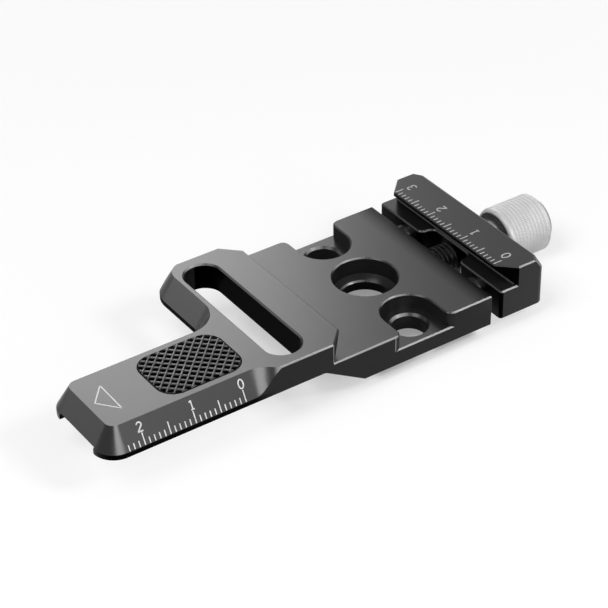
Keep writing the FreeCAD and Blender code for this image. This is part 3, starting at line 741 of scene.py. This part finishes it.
@dataclass
class GripPad:
    """The rubber pad with a high and a low set of ridges crossing over its pits."""

    around: int = 560
    across_top: int = 84
    rim_steps: int = 4
    corner: float = 3.6 * MM
    edge_round: float = 0.3 * MM
    rim_drop: float = 0.22 * MM
    pitch: float = 1.88 * MM
    high_ridge: Pair = (0.26 * MM, 0.58 * MM)
    low_ridge: Pair = (0.36 * MM, 0.80 * MM)
    low_ridge_drop: float = 0.10 * MM
    depth: float = 0.85 * MM
    border: Pair = (0.045 * MM, 0.15 * MM)
    under_share: float = 0.5

    def outline(self, half: Array, angle: Array) -> Array:
        """Distance from the middle to a rounded rectangle in each direction.

        A ray u meets a straight side or, in a corner square, the corner's circle round c:
        t = c·u + √((c·u)² − |c|² + r²).

        Args:
            half: half length and half width.
            angle: directions.

        Returns:
            One distance for each direction.
        """
        ray = np.abs(np.stack([np.cos(angle), np.sin(angle)], -1))
        straight = np.min(half / np.maximum(ray, TINY), axis=1)
        inner = half - self.corner
        in_corner = np.all(ray * straight[:, None] > inner, axis=1)
        along = ray @ inner
        inside = np.maximum(along**2 - inner @ inner + self.corner**2, 0)
        return np.where(in_corner, along + np.sqrt(inside), straight)

    def relief(self, x: Array, y: Array, to_edge: Array) -> Array:
        """Depth of the pits under the ridges' tops.

        Waves of pitch / √2 run along both diagonals, with a ridge where one is near half a step.
        Between two high ridges the depth is drop + (depth − drop) · w, with w the low ridge's wall.
        The pits fade out in the border along the pad's edge.

        Args:
            x: places along the pad from its middle.
            y: places across it.
            to_edge: distance to the pad's outline.

        Returns:
            The depth at each point.
        """
        step = self.pitch / math.sqrt(2)
        low_wall, high_wall = (
            smooth_step(2 * np.abs(line / math.sqrt(2) / step % 1 - 0.5) * step, *widths)
            for line, widths in ((x + y, self.low_ridge), (x - y, self.high_ridge))
        )
        depth = self.low_ridge_drop + (self.depth - self.low_ridge_drop) * low_wall
        return depth * high_wall * smooth_step(to_edge, *self.border)

    def build(self) -> None:
        """Make the pad in place of its CAD solid.

        Rings run outwards over the top as shares of the outline, round the lower rim by a quarter
        circle, and run down the wall and back under to the middle.
        """
        low, high = node_box("grip_pad")
        middle, half = (low + high) / 2, (high - low)[:2] / 2
        angle = full_circle(self.around)
        reach = self.outline(half, angle)[None, :]
        share = np.linspace(0, 1, self.across_top + 1)[1:, None]
        turn = np.linspace(0, math.pi / 2, self.rim_steps + 1)[1:, None]
        top = share * (reach - self.edge_round)
        rounded = reach - self.edge_round + self.edge_round * np.sin(turn)
        walls = np.concatenate([reach, reach * self.under_share])
        pits = self.relief(top * np.cos(angle), top * np.sin(angle), reach - top)
        rim = high[2] - self.rim_drop - self.edge_round * (1 - np.cos(turn)) + 0 * reach
        radius = np.concatenate([top, rounded, walls])
        height = np.concatenate([high[2] - pits, rim, np.full_like(walls, low[2])])
        x, y = middle[0] + radius * np.cos(angle), middle[1] + radius * np.sin(angle)
        poles = np.array([[*middle[:2], high[2]], [*middle[:2], low[2]]])
        piece = ringed_object("grip_pad_ridged", np.stack([x, y, height], -1), poles)
        dress(piece, Look.RUBBER)
        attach(piece, Body.PLATE.value)
        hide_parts("grip_pad")


@dataclass
class ClampKnob:
    """The turned knob with a square knurl over its grip."""

    neck: float = 6.0 * MM
    neck_cove: float = 1.5 * MM
    grip_length: float = 10.7 * MM
    shoulder: float = 1.1 * MM
    end_break: float = 1.3 * MM
    dish: float = 6.4 * MM
    dish_depth: float = 0.3 * MM
    bore: float = 4.0 * MM
    bore_depth: float = 9.0 * MM
    teeth: int = 96
    points_per_tooth: int = 4
    ring_pitch: float = 0.80 * MM
    points_per_ring: int = 8
    knurl_depth: float = 0.14 * MM

    def build(self) -> None:
        """Make the knob in place of its CAD solid."""
        (start, _, bottom), (end, _, top) = node_box("clamp_knob")
        grip = (top - bottom) / 2
        front = end - self.grip_length
        low_knurl, high_knurl = front + self.shoulder, end - self.end_break
        count = round((high_knurl - low_knurl) / self.ring_pitch * self.points_per_ring) + 1
        corners = [
            (start + self.bore_depth, self.bore / 2),
            (start, self.bore / 2),
            (start, self.neck / 2),
            (front, self.neck / 2, self.neck_cove),
            (front, grip, self.shoulder),
            *((x, grip) for x in np.linspace(low_knurl, high_knurl, count)),
            (end, grip - self.end_break),
            (end, self.dish / 2),
            (end - self.dish_depth, self.dish / 2 - self.dish_depth),
            (end - self.dish_depth, self.bore / 2),
        ]

        def relief(x: Array, radius: Array, angle: Array) -> Array:
            """Grooves round the grip and flutes along it, as triangle waves fading at both ends."""
            fade = smooth_step(np.minimum(x - low_knurl, high_knurl - x), 0, self.ring_pitch / 2)
            rings = triangle_wave((x - low_knurl) / self.ring_pitch)
            flutes = triangle_wave(angle / FULL_TURN * self.teeth)
            return self.knurl_depth * fade * (rings + flutes) / 2

        around = self.teeth * self.points_per_tooth
        profile = drawn_profile(corners)
        piece = turned_surface("clamp_knob_knurled", "clamp_knob", profile, around, relief)
        dress(piece, Look.SILVER)
        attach(piece, Body.KNOB.value)
        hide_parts("clamp_knob")


@dataclass
class ClampScrew:
    """The threaded screw on the drive axis."""

    pitch: float = 0.7 * MM
    thread_depth: float = 0.40 * MM
    crest_flat: float = 0.15
    end_break: float = 0.4 * MM
    points_per_pitch: int = 10
    around: int = 48

    def build(self) -> None:
        """Make the screw in place of its CAD rod; its crests are at the rod's radius."""
        (start, _, bottom), (end, _, top) = node_box("clamp_screw")
        crest = (top - bottom) / 2
        along = np.linspace(start, end, round((end - start) / self.pitch * self.points_per_pitch))
        to_end = np.minimum(along - start, end - along)
        profile = np.stack([along, crest - np.clip(self.end_break - to_end, 0, None)], -1)

        def relief(x: Array, radius: Array, angle: Array) -> Array:
            """A flat-crested V groove that advances one pitch in a turn, shallower at both ends."""
            wave = triangle_wave(x / self.pitch - angle / FULL_TURN)
            groove = np.clip((1 + self.crest_flat) * wave - self.crest_flat, 0, 1)
            spare = np.clip((radius - (crest - self.thread_depth)) / self.thread_depth, 0, 1)
            return self.thread_depth * groove * spare

        piece = turned_surface("clamp_screw_threaded", "clamp_screw", profile, self.around, relief)
        dress(piece, Look.SHADED_STEEL)
        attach(piece, Body.KNOB.value)
        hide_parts("clamp_screw")


@dataclass
class OpeningSpring:
    """The coil on the screw that pushes the jaw open, from the plate's end to the notch's wall."""

    wire: float = 0.5 * MM
    mean_radius: float = 2.55 * MM
    turns: float = 4.5
    points_per_turn: int = 48
    around: int = 12
    end_gap: float = 0.02 * MM

    def build(self) -> None:
        """Make the coil in place of its CAD solid.

        The wire's middle runs on a helix about the drive axis. At each of its points stands a
        circle in the plane of the outward direction and the one square to it and to the path.
        """
        _, plate_high = node_box("base_plate")
        low, high = node_box("opening_spring")
        height = axis_centre("clamp_screw")[2]
        start, stop = low[0] + self.wire / 2, high[0] - self.wire / 2
        share = np.linspace(0, 1, round(self.turns * self.points_per_turn) + 1)
        angle = share * self.turns * FULL_TURN + math.pi / 2
        outward = np.stack([0 * share, np.cos(angle), np.sin(angle)], -1)
        path = np.stack([start + share * (stop - start), 0 * share, height + 0 * share], -1)
        path = path + self.mean_radius * outward
        tangent = np.gradient(path, axis=0)
        tangent /= np.linalg.norm(tangent, axis=1, keepdims=True)
        side = np.cross(tangent, outward)
        section = full_circle(self.around)[None, :, None]
        offset = np.cos(section) * outward[:, None] + np.sin(section) * side[:, None]
        rings = path[:, None] + self.wire / 2 * offset
        piece = ringed_object("opening_spring_wire", rings, path[[0, -1]])
        dress(piece, Look.SPRING)
        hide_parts("opening_spring")
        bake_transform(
            piece,
            Body.PLATE.value,
            Body.JAW.value,
            start=(float(plate_high[0]), 0, height),
            end=(float(high[0]) + self.end_gap, 0, height),
        )


def arc(centre: Pair, radius: Pair, first: float, last: float) -> list[Pair]:
    """Points of an ellipse's arc from one angle to another, both in degrees."""
    turns = np.radians(np.linspace(first, last, ARC_POINTS))
    return list(zip(centre[0] + radius[0] * np.cos(turns), centre[1] + radius[1] * np.sin(turns)))


# The strokes of the plain numerals, as middle lines in a box of height 1 round the origin.
NUMERAL_STROKES = {
    "0": (arc((0, 0), (0.29, 0.5), 0, 180) + arc((0, 0), (0.29, 0.5), 180, 360)[1:],),
    "1": (((-0.2, 0.3), (0.01, 0.48)), ((0.02, 0.5), (0.02, -0.5)), ((-0.18, -0.5), (0.22, -0.5))),
    "2": (arc((0, 0.22), (0.27, 0.28), 165, -25) + [(-0.28, -0.48)], ((-0.30, -0.5), (0.30, -0.5))),
    "3": (arc((-0.02, 0.25), (0.25, 0.25), 150, -90), arc((-0.02, -0.25), (0.28, 0.25), 90, -150)),
}

QUARTER_TURN = np.array([[0, 1], [-1, 0]])


@dataclass
class MarkedFace:
    """A flat face with printed lines and plain numerals a hair above it.

    Its own axes are across, which runs along +X, and up; the outward normal is square to both.
    """

    corner: Array
    up: Array
    proud: float = 0.02 * MM
    sunk: float = 0.01 * MM

    @classmethod
    def top_of(cls, node: str) -> "MarkedFace":
        """The level face at a CAD node's highest point."""
        return cls(np.array([0, 0, node_box(node)[1][2]]), np.array([0, 1.0, 0]))

    def place(self, flat: Array) -> Array:
        """Points given as across, up and height over the face, in the frame's axes."""
        across = np.array([1.0, 0, 0])
        return self.corner + flat @ np.stack([across, self.up, np.cross(across, self.up)])

    def band(self, path: Array, width: float) -> tuple[Array, Array]:
        """A line as a thin closed band; at each point it is widened square to its neighbours.

        Args:
            path: its points on the face; a path that ends where it starts is drawn as a loop.
            width: its width.

        Returns:
            The corners and the faces.
        """
        loop = bool(np.allclose(path[0], path[-1]))
        path = path[:-1] if loop else path
        count = len(path)
        ahead, behind = np.roll(path, -1, axis=0), np.roll(path, 1, axis=0)
        if not loop:
            ahead[-1], behind[0] = path[-1], path[0]
        along = (ahead - behind) / np.linalg.norm(ahead - behind, axis=1, keepdims=True)
        side = np.stack([-along[:, 1], along[:, 0]], -1) * width / 2
        right, left = path - side, path + side
        low, high = np.full((count, 1), -self.sunk), np.full((count, 1), self.proud)
        section = (right, low), (left, low), (left, high), (right, high)
        corners = np.concatenate([np.hstack(corner) for corner in section])
        start = np.arange(count if loop else count - 1)[:, None]
        step = (start + 1) % count
        edge = np.arange(4)[None, :] * count
        turn = np.roll(edge, -1)
        faces = np.stack([edge + start, turn + start, turn + step, edge + step], -1).reshape(-1, 4)
        if not loop:
            faces = np.concatenate([faces, edge[:, ::-1], edge + count - 1])
        return self.place(corners), faces

    def lines(self, name: str, paths: list[Array], width: float) -> Piece:
        """Lines of one width as one piece.

        Args:
            name: name of the piece.
            paths: the points of each line on the face.
            width: their width.

        Returns:
            The piece.
        """
        points, faces, used = [], [], 0
        for path in paths:
            corners, sides = self.band(path, width)
            points.append(corners)
            faces.append(sides + used)
            used += len(corners)
        piece = make_object(name, np.concatenate(points), [np.concatenate(faces)])
        piece.data.shade_flat()
        return piece


@dataclass(frozen=True)
class PrintedScale:
    """Ticks one step apart, every fifth one longer, and the numerals beside them.

    The scale runs across its face or, with upright set, up it with its numerals turned to match.
    """

    name: str
    ticks: int
    first_tick: float
    step: float
    tick_start: float
    tick_lengths: Pair
    tick_width: float
    numeral_places: tuple[tuple[str, float], ...]
    numeral_height: float
    numeral_middle: float
    upright: bool = False
    line_share: float = 0.125

    def build(self, face: MarkedFace) -> list[Piece]:
        """Make the ticks and the numerals, whose strokes fill a box of the numeral's height.

        Args:
            face: the face that carries the scale.

        Returns:
            The pieces.
        """
        way, turn = (-1, QUARTER_TURN) if self.upright else (1, np.eye(2))
        ticks = []
        for number in range(self.ticks):
            place = self.first_tick + number * self.step
            length = self.tick_lengths[number % LONG_TICK_EVERY == 0]
            ends = (place, self.tick_start), (place, self.tick_start + length)
            ticks.append(np.array(ends)[:, ::way])
        pieces = [face.lines(f"{self.name}_scale_ticks", ticks, self.tick_width)]
        width = self.numeral_height * self.line_share
        for text, place in self.numeral_places:
            middle = np.array([place, self.numeral_middle])[::way]
            strokes = [
                np.array(stroke) @ turn * (self.numeral_height - width) + middle
                for stroke in NUMERAL_STROKES[text]
            ]
            pieces.append(face.lines(f"{self.name}_numeral_{text}", strokes, width))
        return pieces


@dataclass
class Markings:
    """The scale on the tongue's near bevel, the triangle on its top and the scale on the jaw's top.

    The jaw's numerals stand upright for a reader behind the knob.
    """

    tongue: PrintedScale = PrintedScale(
        name="tongue",
        ticks=24,
        first_tick=-38.3 * MM,
        step=-1.0 * MM,
        tick_start=0.04 * MM,
        tick_lengths=(1.1 * MM, 2.2 * MM),
        tick_width=0.20 * MM,
        numeral_places=(("0", -38.3 * MM), ("1", -48.2 * MM), ("2", -58.4 * MM)),
        numeral_height=1.85 * MM,
        numeral_middle=3.30 * MM,
    )
    jaw: PrintedScale = PrintedScale(
        name="jaw",
        ticks=31,
        first_tick=-15.0 * MM,
        step=1.0 * MM,
        tick_start=17.95 * MM,
        tick_lengths=(1.05 * MM, 1.9 * MM),
        tick_width=0.21 * MM,
        numeral_places=(("0", -14.2 * MM), ("1", -4.75 * MM), ("2", 5.2 * MM), ("3", 14.5 * MM)),
        numeral_height=2.1 * MM,
        numeral_middle=21.5 * MM,
        upright=True,
    )
    triangle: tuple[Pair, ...] = (
        (-58.92 * MM, -5.1 * MM),
        (-59.02 * MM, -12.58 * MM),
        (-62.08 * MM, -8.86 * MM),
    )
    triangle_line: float = 0.22 * MM
    bevel_angle: float = math.radians(30)
    rim_top: float = 5.98 * MM

    def build(self) -> None:
        """Print every marking on its face."""
        lean = np.array([0, math.sin(self.bevel_angle), math.cos(self.bevel_angle)])
        bevel = MarkedFace(np.array([0, node_box("base_plate")[0][1], self.rim_top]), lean)
        corners = np.array(self.triangle)
        sides = np.stack([corners, np.roll(corners, -1, axis=0)], axis=1)
        pieces, top = self.tongue.build(bevel), MarkedFace.top_of("base_plate")
        pieces.append(top.lines("tongue_triangle", list(sides), self.triangle_line))
        for piece in pieces:
            dress(piece, Look.MARKING)
            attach(piece, Body.PLATE.value)
        for piece in self.jaw.build(MarkedFace.top_of("clamp_jaw")):
            dress(piece, Look.JAW_MARKING)
            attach(piece, Body.JAW.value)


@dataclass(frozen=True)
class SoftLamp:
    """A rectangular area lamp aimed at the object."""

    name: str
    place: tuple[float, float, float]
    size: Pair
    radiance: float
    only_mirrored: bool = False
    target: tuple[float, float, float] = (-0.015, 0.0, 0.006)

    def build(self) -> None:
        """Make the lamp; its power is radiance × area × π, from one side."""
        light = bpy.data.lights.new(self.name, "AREA")
        light.shape = "RECTANGLE"
        light.size, light.size_y = self.size
        light.energy = self.radiance * self.size[0] * self.size[1] * math.pi
        lamp = bpy.data.objects.new(self.name, light)
        lamp.location = self.place
        aim = Vector(self.target) - Vector(self.place)
        lamp.rotation_euler = aim.to_track_quat("-Z", "Y").to_euler()
        lamp.visible_diffuse = not self.only_mirrored
        bpy.context.scene.collection.objects.link(lamp)


def seen_and_mirrored(nodes: NodeSet) -> tuple[Socket, Socket]:
    """1 for rays from the camera, and 1 for rays off a glossy surface or through a clear one."""
    rays = nodes.add("ShaderNodeLightPath").outputs
    mirrored = nodes.maths("MAXIMUM", rays["Is Glossy Ray"], rays["Is Transmission Ray"])
    return rays["Is Camera Ray"], mirrored


@dataclass(frozen=True)
class PaintedFloorShading:
    """A soft-edged rectangle of the floor where the object stands over it, whose own white is lower for
    painted shade and higher for painted light.
    """

    low: Pair
    high: Pair
    fade: float
    white: float

    def over(self, nodes: NodeSet, place: Socket, around: Value) -> Socket:
        """The patch's own white, laid over the level round it with a straight fade at its edges.

        Args:
            nodes: the floor's nodes.
            place: the object coordinates.
            around: the white round the patch.

        Returns:
            The white with the patch.
        """
        edges = []
        for line, low, high in zip(nodes.axes(place), self.low, self.high):
            edges.append(nodes.remap(line, low, low + self.fade))
            edges.append(nodes.remap(line, high - self.fade, high, 1.0, 0.0))
        inside = nodes.fold("MULTIPLY", *edges)
        kept = nodes.maths("MULTIPLY", nodes.maths("SUBTRACT", 1.0, inside), around)
        return nodes.maths("MULTIPLY_ADD", inside, self.white, kept)


@dataclass
class Studio:
    """Pale floor, white surroundings, soft lamps and the camera at the photograph's view."""

    floor_level: float
    floor_half: float = 3.0
    floor_colour: float = 0.92
    floor_white: float = 0.62
    mirrored_white: float = 0.85
    white_from: float = 0.10
    all_white: float = 0.30
    ambient: float = 0.35
    # Painted shade and painted light: patches of the floor under and round the object, darker and lighter as
    # seen and in reflections.
    seen_painted_shading: tuple[PaintedFloorShading, ...] = (
        PaintedFloorShading((-70.0 * MM, -34.0 * MM), (-26.0 * MM, 0.0), 8.0 * MM, 0.86),
        PaintedFloorShading((-28.0 * MM, -18.0 * MM), (0.0, 18.0 * MM), 8.0 * MM, 0.45),
        PaintedFloorShading((-10.0 * MM, -18.5 * MM), (14.0 * MM, 18.0 * MM), 2.0 * MM, 0.27),
    )
    mirrored_painted_shading: tuple[PaintedFloorShading, ...] = (
        PaintedFloorShading((-46.0 * MM, -18.5 * MM), (14.0 * MM, 36.0 * MM), 2.0 * MM, 0.08),
        PaintedFloorShading((-90.0 * MM, -60.0 * MM), (22.0 * MM, -17.0 * MM), 3.0 * MM, 0.50),
    )
    camera_place: tuple[float, float, float] = (-0.196780, -0.272035, 0.236947)
    yaw: float = 0.59254466
    pitch: float = -0.61437571
    roll: float = -0.01754180
    lens: float = 131.256
    sensor: float = 36.0
    clip: Pair = (0.01, 20.0)
    lamps: tuple[SoftLamp, ...] = (
        SoftLamp("back_softbox", (0.177, 0.507, 0.36), (0.254, 0.30), 8.8, only_mirrored=True),
        SoftLamp("front_strip", (-0.146, -0.626, 0.29), (0.42, 0.30), 18.0, only_mirrored=True),
        SoftLamp("back_left_card", (-0.38, 0.374, 0.145), (0.25, 0.25), 3.5, only_mirrored=True),
        SoftLamp("right_key", (0.27, -0.35, 0.41), (0.14, 0.14), 22.0),
        SoftLamp("low_fill", (0.22, -0.52, 0.19), (0.30, 0.20), 2.6),
        SoftLamp("left_key", (-0.35, -0.05, 0.50), (0.30, 0.30), 7.8),
    )

    def build_floor(self) -> None:
        """Lay a floor at the object's lowest point, with patches of painted shade and painted light under
        and round the object.
        """
        corner = np.array([[-1, -1], [1, -1], [1, 1], [-1, 1]]) * self.floor_half
        points = np.concatenate([corner, np.full((4, 1), self.floor_level)], axis=1)
        floor = make_object("studio_floor", points, [np.array([[0, 1, 2, 3]])])
        material = bpy.data.materials.new("studio_floor")
        material.use_nodes = True
        nodes = NodeSet(material.node_tree)
        lit = nodes.add("ShaderNodeBsdfDiffuse", Color=opaque(WHITE, self.floor_colour))
        place = nodes.add("ShaderNodeTexCoord").outputs["Object"]
        seen, mirrored = seen_and_mirrored(nodes)
        reach = nodes.length(place)
        seen_white = nodes.remap(reach, self.white_from, self.all_white, self.floor_white)
        for patch in self.seen_painted_shading:
            seen_white = patch.over(nodes, place, seen_white)
        mirrored_white = self.mirrored_white
        for patch in self.mirrored_painted_shading:
            mirrored_white = patch.over(nodes, place, mirrored_white)
        strength = nodes.maths("MULTIPLY_ADD", mirrored, mirrored_white, seen)
        white = nodes.add("ShaderNodeEmission", Color=opaque(WHITE), Strength=strength)
        share = nodes.maths("MULTIPLY_ADD", seen, seen_white, mirrored)
        blend = nodes.add("ShaderNodeMixShader", _0=share, _1=lit.outputs[0], _2=white.outputs[0])
        nodes.add("ShaderNodeOutputMaterial", Surface=blend.outputs[0])
        floor.data.materials.append(material)
        floor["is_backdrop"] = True

    def build_world(self) -> None:
        """White surroundings where they are seen or mirrored, and an ambient level elsewhere."""
        world = bpy.data.worlds.new("studio_surroundings")
        world.use_nodes = True
        nodes = NodeSet(world.node_tree)
        white = nodes.maths("MAXIMUM", *seen_and_mirrored(nodes))
        strength = nodes.remap(white, 0.0, 1.0, self.ambient)
        light = nodes.add("ShaderNodeBackground", Color=opaque(WHITE), Strength=strength)
        nodes.add("ShaderNodeOutputWorld", Surface=light.outputs[0])
        bpy.context.scene.world = world

    def build_camera(self) -> None:
        """Stand the camera at the photograph's place, with its turn and focal length."""
        level = np.array([math.cos(self.yaw), -math.sin(self.yaw), 0])
        tilt = math.cos(self.pitch)
        ahead = np.array(
            [math.sin(self.yaw) * tilt, math.cos(self.yaw) * tilt, math.sin(self.pitch)]
        )
        up = np.cross(level, ahead)
        cosine, sine = math.cos(self.roll), math.sin(self.roll)
        right, top = cosine * level + sine * up, cosine * up - sine * level
        data = bpy.data.cameras.new("photo_view")
        data.lens, data.sensor_width, data.sensor_fit = self.lens, self.sensor, "AUTO"
        data.clip_start, data.clip_end = self.clip
        camera = bpy.data.objects.new("photo_view", data)
        turn = Matrix(np.stack([right, top, -ahead], axis=1).tolist()).to_4x4()
        camera.matrix_world = Matrix.Translation(Vector(self.camera_place)) @ turn
        bpy.context.scene.collection.objects.link(camera)
        bpy.context.scene.camera = camera

    def build(self) -> None:
        """Make the whole studio."""
        self.build_floor()
        self.build_world()
        for lamp in self.lamps:
            lamp.build()
        self.build_camera()
        bpy.context.scene.view_settings.view_transform = "Standard"


def main() -> None:
    logging.basicConfig(level=logging.INFO, format="%(message)s")
    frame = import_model()
    nodes = frame["nodes"]
    cad_low, cad_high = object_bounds()
    for body in (BASE_PLATE, CLAMP_JAW):
        body.build(nodes)
    for part in (GripPad(), ClampKnob(), ClampScrew(), OpeningSpring(), Markings()):
        part.build()
    for node in ("guide_pin_near", "guide_pin_far", "thrust_washer"):
        dress(nodes[node], Look.STEEL)
    Studio(cad_low.z).build()


if __name__ == "__main__":
    main()
